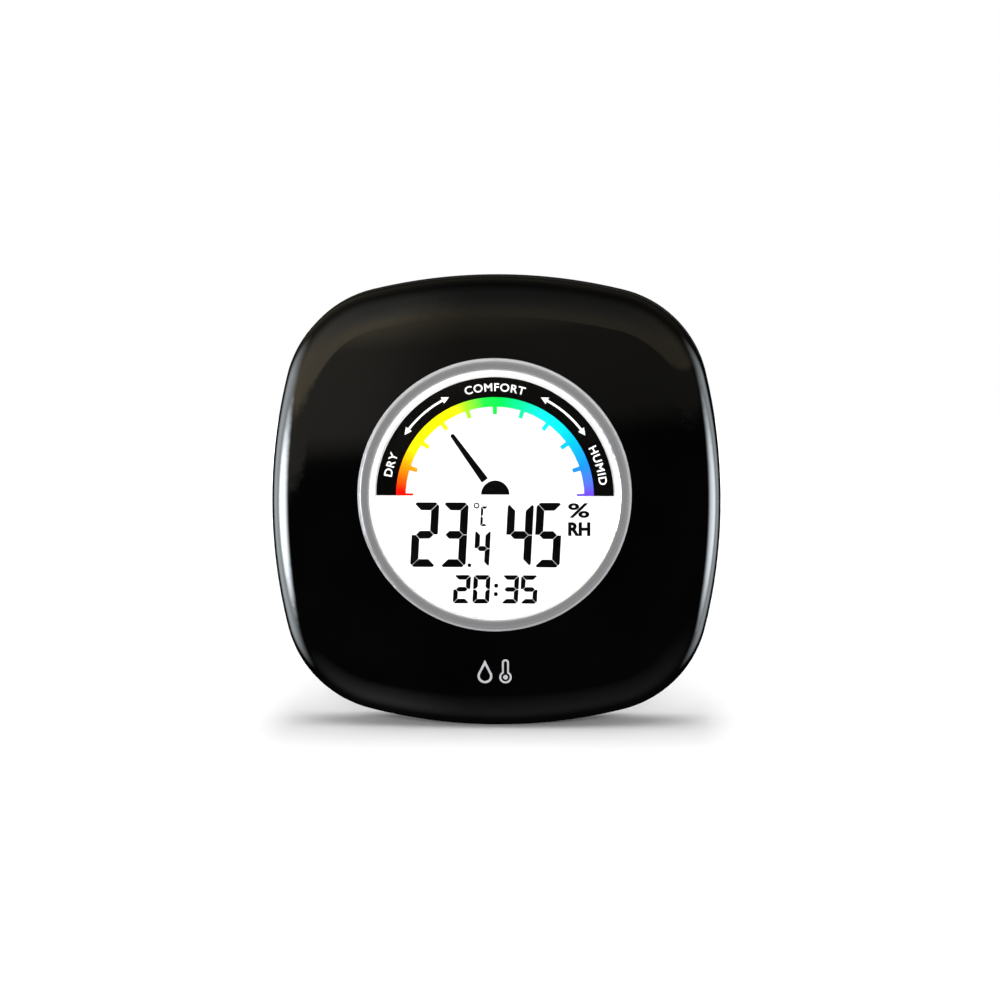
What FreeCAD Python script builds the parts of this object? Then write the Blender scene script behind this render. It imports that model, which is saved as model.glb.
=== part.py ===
"""Desk thermo-hygrometer: a domed square case with a round window, a segment display with a comfort
scale, two AAA cells, a fold-out foot and four keys on the back.

The object stands upright, +Z up, and its front looks along -Y. Depths are measured backwards from the
front pole of the dome, and at() turns a depth into a Y. The origin is at the middle of its footprint.
"""

import FreeCAD
import Part
import math
import os

V = FreeCAD.Vector
ALONG_X = V(1, 0, 0)
ALONG_Y = V(0, 1, 0)
ALONG_Z = V(0, 0, 1)

# Case
case_half = 47.5  # half its width, and half its height
side_radius = 113.0  # how gently each side bulges
corner_radius = 23.7
case_depth = 31.0
dome_radius = 250.0
front_rim = 9.0  # roll of the front edge
back_rim = 7.0  # roll of the back edge
wall = 2.2
part_depth = 16.0  # where the two covers meet
lip = 1.2  # half of the wall, outside the tongue
tongue = 1.5  # how far the back cover's tongue reaches into the front cover
rib = 1.5  # inner walls

# Clearances
gap = 0.3  # between pieces that move past each other
slip = 0.1  # between pieces of one body that fit in each other
pin_fit = 0.06  # radial, round a pin

# Window
dial_z = 50.0
ring_radius = 28.8
ring_inner = 26.35
ring_front = 0.9
ring_height = 1.8
ring_bevel = 0.7  # width of the bevel round the outside
ring_bevel_depth = 0.6
ring_edge = 0.3  # break of the inner edge
lens_seat = 1.0  # width of the ledge that the lens is taped to
lens_thickness = 1.5
tape_thickness = 0.2
set_back = 0.25  # of the ledge's edge behind the ring's
ledge = 0.8
boss_wall = 1.7  # beyond the ring's seat
gasket_thickness = 0.3
gasket_width = 1.5

# Display
glass_half = 28.5
glass_thickness = 0.7
film_thickness = 0.2
cell_gap = 0.1  # between the two glasses, where the segments are
contact_ledge = 2.5  # strip of the front glass that the back glass leaves bare
seal_width = 0.8
frame_wall = 2.0
frame_ledge = 2.0
zebra_width = 1.9

# Scale printed behind the window, about the pivot of the pointer
pivot_z = dial_z - 0.4
print_thickness = 0.1
print_overlap = 0.3  # of the band over the coloured arc in front of it
scale_margin = 1.35  # between the ring and the band
band_width = 4.2
colour_width = 2.0
tick_length = 1.6
tick_width = 0.85
tick_count = 11
arrow_width = 0.45
arrow_head = 1.5
arrow_from = 34.0  # degrees above the base line, on both sides
arrow_to = 65.0

# Pointer, at the third tick from the left
pointer_tick = 3
pointer_inner = 3.7
pointer_gap = 1.5  # between its tip and the ticks
pointer_base = 1.6
pointer_tip = 0.9
hub_radius = 3.0

# Digits
slant = math.tan(math.radians(3.0))
digit_gap = 0.14  # between neighbouring segments
digit_cut = 0.45  # of the stroke, off each outer corner
big_height = 13.7
big_width = 5.5
big_stroke = 1.65
big_z = 34.2
small_height = 7.9
small_width = 3.25
small_stroke = 1.05
clock_height = 6.0
clock_width = 3.55
clock_stroke = 0.95
clock_z = 26.5
unit_height = 4.2
unit_width = 1.5
unit_stroke = 0.5

# Electronics
pcb_depth = 9.6
pcb_thickness = 1.2
pcb_half_x = 37.5
pcb_half_z = 30.0
pcb_screw_inset = 3.0  # from the board's side edges
pcb_screw_z = (46.0, 74.0)
pcb_boss = 2.6
pcb_screw = 0.8
switch_side = 6.0
switch_body = 3.5
switch_plunger = 0.7
switch_plunger_radius = 1.75
sensor_x = 33.0
sensor_z = 60.0

# Case screws
case_screws_at = ((-24.0, 84.5), (24.0, 84.5), (-30.0, 13.0), (30.0, 13.0))
case_boss = 3.2
case_screw = 1.1
case_screw_length = 9.5
screw_floor = 2.0
screw_head = 2.1
screw_head_height = 1.5
well_radius = 2.4

# Cells and their bay
cell_radius = 5.25
cell_length = 43.3
nub_radius = 1.9
nub_length = 1.2
cell_clear = 0.4
cell_between = 0.7
bay_z = 58.0
bay_half_x = 25.6
terminal_sheet = 0.4
terminal_bump = 0.6
terminal_half = 4.2
spring_wire = 0.3
spring_turns = 3.5
tab_half = 1.5
tab_reach = 1.0  # beyond the bay's floor

# Battery door
door_thickness = 1.8
door_overlap = 1.0  # over the bay's walls
door_tab_x = 14.0
door_tab_half = 3.0
door_tab_reach = 1.5
door_tab_depth = 1.1  # below the outer face
door_tab_thickness = 1.0
door_tab_swing = 1.0  # room in front of the tabs, to turn in
finger_radius = 5.0

# Keys
key_places = {"set": (-31.5, 38.0), "mode": (-31.5, 26.0), "plus": (31.5, 38.0), "minus": (31.5, 26.0)}
key_radius = 3.0
key_flange = 4.0
key_flange_height = 1.0
key_stem = 1.6
key_proud = 0.8
key_travel = 0.6
key_fit = 0.15  # round the cap
key_lift = 0.2  # of the flange off the wall, and of the pressed stem off its switch

# Foot
foot_half = 19.0
foot_length = 33.0
foot_thickness = 2.5
foot_barrel = 5.0
foot_stub = 1.5
foot_stub_length = 2.2
foot_corner = 4.0
pad_radius = 4.0
pad_thickness = 1.2
pad_proud = 0.4
pad_x = 12.0
pad_from_end = 6.0
ear = 3.2

# Keyhole and vents
keyhole_z = 80.0
keyhole_radius = 4.25
keyhole_slot = 2.25
keyhole_rise = 5.0
vent_x = 34.5
vent_length = 8.0
vent_height = 1.6
vent_pitch = 4.0
vent_count = 5

# Leads
lead_radius = 0.6

# Derived places
pcb_screw_x = pcb_half_x - pcb_screw_inset
aperture = ring_inner + set_back
lens_radius = aperture + lens_seat
gasket_inner = aperture + gap
gasket_outer = gasket_inner + gasket_width
cell_pitch = 2 * cell_radius + cell_between
band_outer = ring_inner - scale_margin
band_inner = band_outer - band_width
colour_inner = band_inner - colour_width
tick_inner = colour_inner - tick_length
arrow_radius = (band_outer + band_inner) / 2
pointer_outer = tick_inner - pointer_gap
hinge_z = foot_barrel + pad_proud
foot_notch = hinge_z + slip
foot_reach = foot_length - hinge_z
front_y = -(ring_front + case_depth + foot_reach) / 2  # of the dome's pole, which the ring covers
back_y = front_y + case_depth
hinge_y = back_y - hinge_z
ring_back = ring_front + ring_height
lens_back = ring_back + lens_thickness
ledge_front = lens_back + tape_thickness
ledge_back = ledge_front + ledge
display_front = ledge_back + gasket_thickness
glass_front = display_front + film_thickness
segments_front = glass_front + glass_thickness
back_glass_front = segments_front + cell_gap
reflector_front = back_glass_front + glass_thickness
reflector_back = reflector_front + film_thickness
module_half = glass_half + slip + frame_wall
pcb_back = pcb_depth + pcb_thickness
door_front = case_depth - door_thickness
bay_floor = door_front - cell_clear - 2 * cell_radius - cell_clear
bay_half_z = cell_pitch / 2 + cell_radius + cell_clear
cell_depth = bay_floor + cell_clear + cell_radius
door_half_x = bay_half_x + door_overlap
door_half_z = bay_half_z + door_overlap
door_hinge_z = bay_z - door_half_z
recess_depth = foot_thickness + pad_proud + gap
switch_top = pcb_back + switch_body + switch_plunger
lead_depth = (pcb_back + bay_floor - rib) / 2


def at(depth):
    return front_y + depth


def disc(radius, from_depth, to_depth, x=0.0, z=dial_z):
    return Part.makeCylinder(radius, to_depth - from_depth, V(x, at(from_depth), z), ALONG_Y)


def washer(outer, inner, from_depth, to_depth, x=0.0, z=dial_z):
    return disc(outer, from_depth, to_depth, x, z).cut(disc(inner, from_depth, to_depth, x, z))


def rod(radius, from_x, to_x, y, z):
    return Part.makeCylinder(radius, to_x - from_x, V(from_x, y, z), ALONG_X)


def block(from_x, to_x, from_depth, to_depth, from_z, to_z):
    size = (to_x - from_x, to_depth - from_depth, to_z - from_z)
    return Part.makeBox(*size, V(from_x, at(from_depth), from_z))


def patch(half_x, half_z, from_depth, to_depth, x, z):
    return block(x - half_x, x + half_x, from_depth, to_depth, z - half_z, z + half_z)


def plate(half_x, half_z, from_depth, to_depth, z):
    return patch(half_x, half_z, from_depth, to_depth, 0.0, z)


def polygon(points, from_depth, to_depth):
    wire = Part.makePolygon([V(x, at(from_depth), z) for x, z in points + points[:1]])
    return Part.Face(wire).extrude(ALONG_Y * (to_depth - from_depth))


def polar(radius, degrees, z=pivot_z):
    turn = math.radians(degrees)
    return radius * math.cos(turn), z + radius * math.sin(turn)


def one(shapes):
    first, *rest = shapes
    return first.fuse(rest).removeSplitter() if rest else first


# ---------------------------------------------------------------- case


def case_outline(inset, from_depth, to_depth):
    """The case's outline, inset all round: four bulging sides and four corners, tangent to each other."""
    side = side_radius - inset
    corner = corner_radius - inset
    shift = side_radius - case_half  # from the middle of the case to the centre of a side's arc
    reach = side - corner
    centre = (math.sqrt(2 * reach**2 - shift**2) - shift) / 2
    turn = math.atan2(centre, centre + shift)
    middle = centre + corner / math.sqrt(2)
    start = (side * math.cos(turn) - shift, side * math.sin(turn))
    points = [(start[0], -start[1]), (side - shift, 0.0), start, (middle, middle), start[::-1]]
    edges = []
    for quarter in range(4):
        c, s = ((1, 0), (0, 1), (-1, 0), (0, -1))[quarter]
        placed = [V(c * x - s * z, at(from_depth), case_half + s * x + c * z) for x, z in points]
        edges.append(Part.Arc(*placed[:3]).toShape())
        edges.append(Part.Arc(*placed[2:]).toShape())
    return Part.Face(Part.Wire(edges)).extrude(ALONG_Y * (to_depth - from_depth))


def case_form(inset):
    """The case as a solid, inset all round: the outline, cut off by the dome, with rolled edges."""
    form = case_outline(inset, 0.0, case_depth - inset)
    dome = Part.makeSphere(dome_radius - inset, V(0, at(dome_radius), case_half))
    form = form.common(dome)
    middle = at(case_depth / 2)
    front = [edge for edge in form.Edges if edge.BoundBox.YMax < middle]
    form = form.makeFillet(front_rim - inset, front)
    back = [edge for edge in form.Edges if edge.BoundBox.YMin > at(case_depth - inset) - 0.01]
    return form.makeFillet(back_rim - inset, back)


def slab(from_depth, to_depth):
    return plate(2 * case_half, 2 * case_half, from_depth, to_depth, case_half)


outer = case_form(0.0)
inner = case_form(wall)


def front_cover():
    shell = outer.common(slab(-1, part_depth)).cut(inner)
    shell = shell.cut(case_outline(lip, part_depth - tongue - slip, part_depth + 1))
    rim = disc(ring_radius + boss_wall, 0, ledge_back)
    case_bosses = [disc(case_boss, 0, part_depth, x, z) for x, z in case_screws_at]
    pcb_bosses = [disc(pcb_boss, 0, pcb_depth, x, z) for x, z in pcb_screw_places()]
    solid = one([shell] + [boss.common(outer) for boss in [rim] + case_bosses + pcb_bosses])
    bores = [
        disc(ring_radius + slip, -1, ring_back),
        disc(lens_radius + slip, -1, ledge_front),
        disc(aperture, -1, ledge_back + 1),
        plate(module_half + slip, module_half + slip, display_front, pcb_depth, dial_z),
    ]
    pilot = part_depth + screw_floor - case_screw_length - 1
    bores += [disc(case_screw + 0.02, pilot, part_depth + 1, x, z) for x, z in case_screws_at]
    pilot = pcb_depth - 3
    bores += [disc(pcb_screw + 0.02, pilot, pcb_depth + 1, x, z) for x, z in pcb_screw_places()]
    return solid.cut(bores)


def rear_cover():
    shell = outer.common(slab(part_depth, case_depth + 1)).cut(inner)
    start = part_depth - tongue
    joint = case_outline(lip + slip, start, part_depth + 1).cut(case_outline(wall, start, part_depth + 1))
    ear_x = foot_half + gap + ear
    housing = rod(foot_notch + rib, -ear_x, ear_x, hinge_y, hinge_z)
    recess_top = hinge_z + foot_length + gap
    recess_front = case_depth - recess_depth
    side = foot_half + gap
    backing = block(-side - rib, side + rib, recess_front - rib, case_depth, 0, recess_top + rib)
    bay = plate(bay_half_x + 1.2 * rib, bay_half_z + 1.2 * rib, bay_floor - rib, case_depth, bay_z)
    tubes = [disc(case_boss, part_depth, case_depth, x, z) for x, z in case_screws_at]
    added = [piece.common(outer) for piece in [housing, backing, bay] + tubes]
    solid = one([shell, joint] + added)

    stub = side + foot_stub_length
    through = (case_depth - wall - 1, case_depth + 1)
    notch_side = 0.7 * foot_notch
    cuts = [
        rod(foot_notch, -side, side, hinge_y, hinge_z),
        block(
            -side, side, case_depth - hinge_z - notch_side, case_depth + 1, -1, hinge_z - notch_side
        ),
        rod(foot_stub + pin_fit, -stub, stub, hinge_y, hinge_z),
        block(-side, side, recess_front, case_depth + 1, hinge_z, recess_top),
        disc(finger_radius * 0.7, recess_front, case_depth + 1, 0, recess_top),
        plate(bay_half_x, bay_half_z, bay_floor, case_depth + 1, bay_z),
        plate(door_half_x + gap / 2, door_half_z + gap / 2, door_front - slip, case_depth + 1, bay_z),
        disc(finger_radius, case_depth - 1.2, case_depth + 1, 0, bay_z + door_half_z),
        disc(keyhole_radius, *through, 0, keyhole_z),
        disc(keyhole_slot, *through, 0, keyhole_z + keyhole_rise),
        block(-keyhole_slot, keyhole_slot, *through, keyhole_z, keyhole_z + keyhole_rise),
    ]
    tab_front = case_depth - door_tab_depth - door_tab_thickness - door_tab_swing
    tab_back = case_depth - door_tab_depth + gap / 2
    top = door_hinge_z + door_overlap + gap
    bottom = door_hinge_z - door_tab_reach - gap
    for side in (-1, 1):
        middle, half = side * door_tab_x, door_tab_half + gap
        cuts.append(block(middle - half, middle + half, tab_front, tab_back, bottom, top))
        for number in range(vent_count):
            z = bay_z + (number - (vent_count - 1) / 2) * vent_pitch
            cuts.append(patch(vent_length / 2, vent_height / 2, *through, side * vent_x, z))
    for x, z in key_places.values():
        cuts.append(disc(key_radius + key_fit, *through, x, z))
    for x, z in case_screws_at:
        cuts.append(disc(case_screw + 0.2, part_depth - 1, case_depth + 1, x, z))
        cuts.append(disc(well_radius, part_depth + screw_floor, case_depth + 1, x, z))
    for x, z in terminal_tabs():
        half_x, half_z = terminal_sheet / 2 + slip, tab_half + slip
        cuts.append(patch(half_x, half_z, bay_floor - rib - 1, bay_floor + 1, x, z))
    return solid.cut(cuts)


def bezel_ring():
    """A turned ring with a flat face and a bevel round the outside."""
    profile = [
        (ring_inner, ring_back), (ring_inner, ring_front + ring_edge), (ring_inner + ring_edge, ring_front),
        (ring_radius - ring_bevel, ring_front), (ring_radius, ring_front + ring_bevel_depth),
        (ring_radius, ring_back),
    ]
    wire = Part.makePolygon([V(r, at(depth), dial_z) for r, depth in profile + profile[:1]])
    return Part.Face(wire).revolve(V(0, 0, dial_z), ALONG_Y, 360)


# ---------------------------------------------------------------- window and display


def window_lens():
    return disc(lens_radius, ring_back, lens_back)


def window_tape():
    return washer(lens_radius - slip, aperture + slip, lens_back, ledge_front)


def dust_gasket():
    return washer(gasket_outer, gasket_inner, ledge_back, display_front)


def lcd_front_polariser():
    return plate(glass_half, glass_half, display_front, glass_front, dial_z)


def lcd_front_glass():
    return plate(glass_half, glass_half, glass_front, segments_front, dial_z)


def behind_ledge(from_depth, to_depth, inset=0.0):
    """A plate as large as the back glass, which leaves the contact ledge of the front glass bare."""
    bottom = dial_z - glass_half + contact_ledge + inset
    half = glass_half - inset
    return block(-half, half, from_depth, to_depth, bottom, dial_z + half)


def lcd_edge_seal():
    cell = behind_ledge(segments_front, back_glass_front)
    return cell.cut(behind_ledge(segments_front, back_glass_front, seal_width))


def lcd_rear_glass():
    return behind_ledge(back_glass_front, reflector_front)


def lcd_reflector():
    return behind_ledge(reflector_front, reflector_back)


def half_band(outer_radius, inner_radius, from_depth, to_depth):
    band = washer(outer_radius, inner_radius, from_depth, to_depth, 0, pivot_z)
    return band.common(plate(outer_radius, outer_radius, from_depth, to_depth, pivot_z + outer_radius))


def scale_band():
    """The dark ground of the scale, printed over the backs of the arrows and the coloured arc."""
    front = lens_back + print_thickness
    return half_band(band_outer, band_inner - print_overlap, front, front + print_thickness)


def scale_colours():
    """The arc and its ticks in one print. The end ticks lie along the base line."""
    back = lens_back + print_thickness
    arc = half_band(band_inner, colour_inner, lens_back, back)
    ticks = []
    for number in range(tick_count):
        turn = 180.0 * number / (tick_count - 1)
        middle, half = (tick_inner + colour_inner + slip) / 2, (colour_inner + slip - tick_inner) / 2
        tick = patch(half, tick_width / 2, lens_back, back, middle, pivot_z)
        tick.rotate(V(0, 0, pivot_z), V(0, -1, 0), turn)
        ticks.append(tick)
    above = plate(band_outer, band_outer, lens_back, back, pivot_z + band_outer)
    lowest = plate(band_inner, tick_width / 4, lens_back, back, pivot_z + tick_width / 4)
    ends = lowest.common(washer(band_inner, tick_inner, lens_back, back, 0, pivot_z))
    return one([arc, ends] + [tick.common(above) for tick in ticks])


def scale_arrows():
    """A curved arrow with two heads on each side, in front of the band."""
    front, back = lens_back, lens_back + print_thickness
    arrows = []
    for start, end in ((arrow_from, arrow_to), (180 - arrow_to, 180 - arrow_from)):
        inset = math.degrees(arrow_head / arrow_radius)
        shaft = washer(
            arrow_radius + arrow_width / 2, arrow_radius - arrow_width / 2, front, back, 0, pivot_z
        )
        sector = [(0.0, pivot_z), polar(30, start + inset / 2), polar(30, end - inset / 2)]
        pieces = [shaft.common(polygon(sector, front, back))]
        for tip, base in ((start, start + inset), (end, end - inset)):
            head = [
                polar(arrow_radius, tip),
                polar(arrow_radius + arrow_head / 2, base),
                polar(arrow_radius - arrow_head / 2, base),
            ]
            pieces.append(polygon(head, front, back))
        arrows.append(one(pieces))
    return arrows


def lcd_pointer():
    """The pointer and its half hub, two segments of the display."""
    turn = 180.0 - 180.0 * pointer_tick / (tick_count - 1)
    tip_radius = pointer_tip / 2
    body = [
        (pointer_inner, -pointer_base / 2),
        (pointer_outer - tip_radius, -tip_radius),
        (pointer_outer - tip_radius, tip_radius),
        (pointer_inner, pointer_base / 2),
    ]
    span = (segments_front, back_glass_front)
    blade = polygon([(x, pivot_z + z) for x, z in body], *span)
    end = disc(tip_radius, *span, pointer_outer - tip_radius, pivot_z)
    pointer = one([blade, end])
    pointer.rotate(V(0, 0, pivot_z), V(0, -1, 0), turn)
    hub = disc(hub_radius, *span, 0, pivot_z)
    return [pointer, hub.common(plate(hub_radius, hub_radius, *span, pivot_z + hub_radius))]


def segment(points, left, bottom):
    """One segment, leaning with the digit that it's part of."""
    placed = [(left + x + slant * z, bottom + z) for x, z in points]
    return polygon(placed, segments_front, back_glass_front)


DIGITS = {"0": "abcdef", "2": "abged", "3": "abgcd", "4": "fgbc", "5": "afgcd", "C": "adef"}


def digit(character, left, bottom, width, height, stroke):
    """A seven-segment character with mitred segments, a at the top, then clockwise, and g in the middle.

    The upper left and the upper half of each shape are drawn, and the rest mirror them."""
    cut, g = stroke * digit_cut / 2, digit_gap / 2
    mid, inner = height / 2, width - stroke
    upper_left = [
        (0, mid + g), (0, height - 2 * cut), (cut - g / 2, height - cut - g / 2),
        (stroke, height - stroke - g), (stroke, mid + stroke / 2 + g), (stroke / 2, mid + g),
    ]
    top = [
        (cut + g / 2, height - cut + g / 2), (2 * cut, height), (width - 2 * cut, height),
        (width - cut - g / 2, height - cut + g / 2), (inner - g, height - stroke),
        (stroke + g, height - stroke),
    ]
    middle = [
        (stroke / 2 + g, mid), (stroke + g, mid + stroke / 2), (inner - g, mid + stroke / 2),
        (width - stroke / 2 - g, mid), (inner - g, mid - stroke / 2), (stroke + g, mid - stroke / 2),
    ]

    def mirror(points, across, over):
        return [(width - x if across else x, height - z if over else z) for x, z in points]

    shapes = {
        "a": top,
        "b": mirror(upper_left, True, False),
        "c": mirror(upper_left, True, True),
        "d": mirror(top, False, True),
        "e": mirror(upper_left, False, True),
        "f": upper_left,
        "g": middle,
    }
    return [segment(shapes[name], left, bottom) for name in DIGITS[character]]


def lcd_temperature():
    """23.4 degrees C."""
    span = (segments_front, back_glass_front)
    pieces = digit("2", -18.0, big_z, big_width, big_height, big_stroke)
    pieces += digit("3", -11.8, big_z, big_width, big_height, big_stroke)
    pieces += digit("4", -4.6, big_z, small_width, small_height, small_stroke)
    pieces.append(disc(0.4, *span, -5.45, big_z + 0.4))
    pieces.append(washer(0.63, 0.36, *span, -3.95, big_z + big_height - 0.63))
    pieces += digit("C", -3.2, big_z + big_height - 0.8 - unit_height, unit_width, unit_height, unit_stroke)
    return pieces


def lcd_humidity():
    """45, in per cent."""
    pieces = digit("4", 1.95, big_z, big_width, big_height, big_stroke)
    return pieces + digit("5", 8.05, big_z, big_width, big_height, big_stroke)


def lcd_clock():
    """20:35."""
    pieces = []
    for character, left in (("2", -9.0), ("0", -4.85), ("3", 1.2), ("5", 5.2)):
        pieces += digit(character, left, clock_z, clock_width, clock_height, clock_stroke)
    for height in (0.33, 0.63):
        lean = slant * height * clock_height
        z = clock_z + height * clock_height
        pieces.append(disc(0.45, segments_front, back_glass_front, lean, z))
    return pieces


def lcd_frame():
    half = glass_half + slip
    solid = plate(module_half, module_half, glass_front, pcb_depth, dial_z)
    pocket = plate(half, half, glass_front - 1, reflector_back, dial_z)
    low = dial_z - glass_half + contact_ledge + 0.8
    side = half - frame_ledge
    opening = block(-side, side, 0, pcb_depth + 1, low, dial_z + side)
    slot = zebra(slip).common(slab(reflector_back - 1, pcb_depth + 1))
    return solid.cut([pocket, opening, slot])


def zebra(clearance=0.0):
    half = glass_half - frame_ledge
    middle = dial_z - glass_half + contact_ledge / 2
    reach = zebra_width / 2 + clearance
    return block(
        -half - clearance, half + clearance, segments_front - clearance, pcb_depth + clearance,
        middle - reach, middle + reach,
    )


def zebra_strip():
    return zebra()


# ---------------------------------------------------------------- electronics


def pcb_screw_places():
    return [(side * pcb_screw_x, z) for side in (-1, 1) for z in pcb_screw_z]


def main_pcb():
    board = plate(pcb_half_x, pcb_half_z, pcb_depth, pcb_back, dial_z)
    corners = [edge for edge in board.Edges if abs(edge.tangentAt(edge.FirstParameter).y) > 0.9]
    board = board.makeFillet(2.0, corners)
    return board.cut([disc(pcb_screw + 0.15, 0, pcb_back + 1, x, z) for x, z in pcb_screw_places()])


def controller_blob():
    return Part.makeCone(7.0, 5.2, 1.5, V(0, at(pcb_back), 34), ALONG_Y)


def clock_crystal():
    return rod(1.0, 12.0, 18.0, at(pcb_back) + 1.0, 38.0)


def capacitor():
    can = disc(2.5, pcb_back, pcb_back + 7.0, -15.0, 33.0)
    top = [edge for edge in can.Edges if edge.BoundBox.YMin > at(pcb_back + 7.0) - 0.01]
    return can.makeFillet(0.4, top)


def chip_components():
    """Chip resistors and capacitors: two rows beside the controller."""
    chips = []
    for side in (-1, 1):
        for row in range(5):
            x, z = side * 10.5, 24.5 + 3.0 * row
            chips.append(block(x - 1.0, x + 1.0, pcb_back, pcb_back + 0.6, z - 0.6, z + 0.6))
    return chips


def humidity_sensor():
    """A vented cap on a small carrier, behind the vents of the back cover."""
    x, z = sensor_x, sensor_z
    carrier = block(x - 3, x + 3, pcb_back, pcb_back + 0.8, z - 5, z + 5)
    cap = block(x - 2.4, x + 2.4, pcb_back + 0.8, pcb_back + 3.0, z - 4.2, z + 4.2)
    slots = [
        block(x - 1.8, x + 1.8, pcb_back + 2.0, pcb_back + 4, z + step - 0.35, z + step + 0.35)
        for step in (-2.4, -0.8, 0.8, 2.4)
    ]
    return one([carrier, cap]).cut(slots)


def thermistor():
    bead = Part.makeSphere(1.3, V(-sensor_x, at(pcb_back + 4.5), sensor_z))
    legs = [disc(0.25, pcb_back, pcb_back + 4.5, -sensor_x, sensor_z + side * 0.9) for side in (-1, 1)]
    return one([bead] + legs)


def key_switches():
    switches = []
    for x, z in key_places.values():
        half = switch_side / 2
        body = block(x - half, x + half, pcb_back, pcb_back + switch_body, z - half, z + half)
        switches.append(one([body, disc(switch_plunger_radius, pcb_back, switch_top, x, z)]))
    return switches


def screw(x, z, under_head, length, radius, head, head_height):
    """A pan-head screw driven in from the back, with a crossed recess."""
    shank = disc(radius, under_head - length, under_head, x, z)
    top = under_head + head_height
    cap = disc(head, under_head, top, x, z)
    cap = cap.makeFillet(head_height * 0.4, [e for e in cap.Edges if e.BoundBox.YMin > at(top) - 0.01])
    long, wide = head * 0.55, head * 0.15
    cross = [
        block(x - long, x + long, top - 0.7, top + 1, z - wide, z + wide),
        block(x - wide, x + wide, top - 0.7, top + 1, z - long, z + long),
    ]
    return one([shank, cap]).cut(cross)


def case_screws():
    size = (part_depth + screw_floor, case_screw_length, case_screw, screw_head, screw_head_height)
    return [screw(x, z, *size) for x, z in case_screws_at]


def pcb_screws():
    size = (pcb_back, 4.0, pcb_screw, 1.6, 1.1)
    return [screw(x, z, *size) for x, z in pcb_screw_places()]


# ---------------------------------------------------------------- cells


def cell(side):
    """An AAA cell. side is the end where its nub is, and the upper cell's nub is at +X."""
    z = bay_z + side * cell_pitch / 2
    tip = side * (bay_half_x - terminal_sheet - terminal_bump)
    shoulder = tip - side * nub_length
    end = shoulder - side * cell_length
    low, high = sorted((end, shoulder))
    can = rod(cell_radius, low, high, at(cell_depth), z)
    can = can.makeFillet(0.5, [e for e in can.Edges if e.Closed])
    low, high = sorted((shoulder, tip))
    return one([can, rod(nub_radius, low, high, at(cell_depth), z)])


def terminal_plate(side, row):
    """A sheet at one end of the bay with a tab through the bay's floor."""
    z = bay_z + row * cell_pitch / 2
    outside = side * bay_half_x
    low, high = sorted((outside, outside - side * terminal_sheet))
    depth = cell_depth
    half = terminal_half
    sheet = block(low, high, depth - half, depth + half, z - half, z + half)
    tab = block(low, high, bay_floor - rib - tab_reach, depth, z - tab_half, z + tab_half)
    return one([sheet, tab])


def terminal_tabs():
    """The middle of each tab, seen from behind."""
    inset = bay_half_x - terminal_sheet / 2
    return [(side * inset, bay_z + row * cell_pitch / 2) for side in (-1, 1) for row in (-1, 1)]


def bump(side, row):
    z = bay_z + row * cell_pitch / 2
    base = side * (bay_half_x - terminal_sheet)
    low, high = sorted((base, base - side * terminal_bump))
    return rod(1.6, low, high, at(cell_depth), z)


def coil(side, row):
    """A conical spring from the sheet to the flat end of the cell."""
    z = bay_z + row * cell_pitch / 2
    base = bay_half_x - terminal_sheet
    height = 2 * base - terminal_bump - nub_length - cell_length
    rise = height - 2 * spring_wire
    helix = Part.makeHelix(rise / spring_turns, rise, 3.4, -14.0)
    start = helix.Edges[0].valueAt(helix.Edges[0].FirstParameter)
    profile = Part.Wire(Part.makeCircle(spring_wire, start, ALONG_Y))
    spring = Part.Wire(helix).makePipeShell([profile], True, True)
    spring.rotate(V(0, 0, 0), ALONG_Y, -90 * side)
    spring.translate(V(side * (base - spring_wire), at(cell_depth), z))
    return spring


def terminal_positive():
    return one([terminal_plate(1, 1), bump(1, 1)])


def terminal_negative():
    return terminal_plate(1, -1)


def terminal_bridge():
    """The sheet that joins the two cells in series at the -X end."""
    z = bay_z
    low = -bay_half_x
    link = block(
        low, low + terminal_sheet, cell_depth - 2, cell_depth + 2, z - cell_pitch / 2, z + cell_pitch / 2
    )
    return one([terminal_plate(-1, 1), terminal_plate(-1, -1), link, bump(-1, -1)])


def terminal_springs():
    return [coil(1, -1), coil(-1, 1)]


def lead(points):
    """A round lead along straight runs joined by tangent arcs."""
    places = [V(x, at(depth), z) for x, depth, z in points]
    edges = []
    here = places[0]
    for before, corner, after in zip(places, places[1:], places[2:]):
        back, ahead = before - corner, after - corner
        trim = 0.45 * min(back.Length, ahead.Length)
        back.normalize()
        ahead.normalize()
        start, end = corner + back * trim, corner + ahead * trim
        half_turn = math.acos(max(-1.0, min(1.0, back.dot(ahead * -1)))) / 2
        radius = trim / math.tan(half_turn)
        inward = back + ahead
        inward.normalize()
        middle = corner + inward * (math.hypot(trim, radius) - radius)
        edges.append(Part.LineSegment(here, start).toShape())
        edges.append(Part.Arc(start, middle, end).toShape())
        here = end
    edges.append(Part.LineSegment(here, places[-1]).toShape())
    path = Part.Wire(edges)
    profile = Part.Wire(Part.makeCircle(lead_radius, places[0], places[1] - places[0]))
    return path.makePipeShell([profile], True, True)


def from_tab(row, rest):
    """A route that starts against the lower side of a terminal's tab, and ends square to the board."""
    x = bay_half_x - terminal_sheet / 2
    depth = bay_floor - rib - tab_reach + lead_radius / 2
    z = bay_z + row * cell_pitch / 2 - tab_half
    last_x, last_depth, last_z = rest[-1]
    return [(x, depth, z), (x, depth, z - 4.5)] + rest + [(last_x, pcb_back, last_z)]


def lead_red():
    back = lead_depth + 1.1
    rest = [(27.0, lead_depth, 51.5), (26.6, back - 0.2, 45.5), (24.4, back, 40.5), (23.0, back, 36.5)]
    return lead(from_tab(1, rest))


def lead_black():
    return lead(from_tab(-1, [(23.2, lead_depth + 0.5, 42.5), (20.0, lead_depth + 1.1, 39.8)]))


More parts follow.
